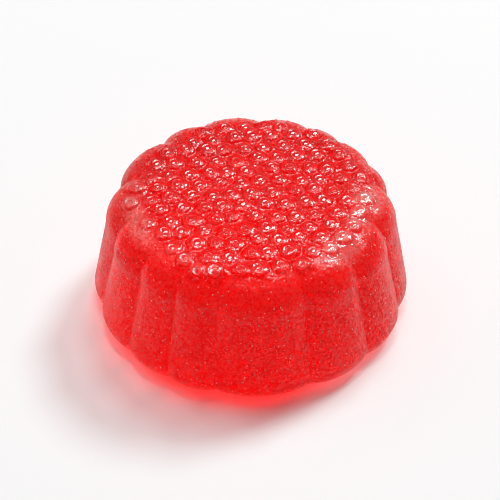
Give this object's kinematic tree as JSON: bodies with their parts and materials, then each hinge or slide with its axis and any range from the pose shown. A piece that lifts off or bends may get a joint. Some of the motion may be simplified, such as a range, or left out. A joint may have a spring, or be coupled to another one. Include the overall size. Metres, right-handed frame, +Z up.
{
  "type": "fruit gummy",
  "caption": "Small red moulded jelly sweet: a low tapering drum with uneven rounded flutes round its side and a glossy top covered in small round bumps.",
  "frame": {"origin": "centre of the flat underside that the sweet rests on", "axes": "+Z up through the bumpy top; -Y is the front, where the widest flute is; +X to the right of it"},
  "size_m": [0.024, 0.0239, 0.0101],
  "materials": {
    "jelly": "translucent red jelly, wet gloss on the bumpy top and finely grained satin on the fluted side"
  },
  "bodies": {
    "root": {"gummy": "jelly"}
  },
  "joints": []
}
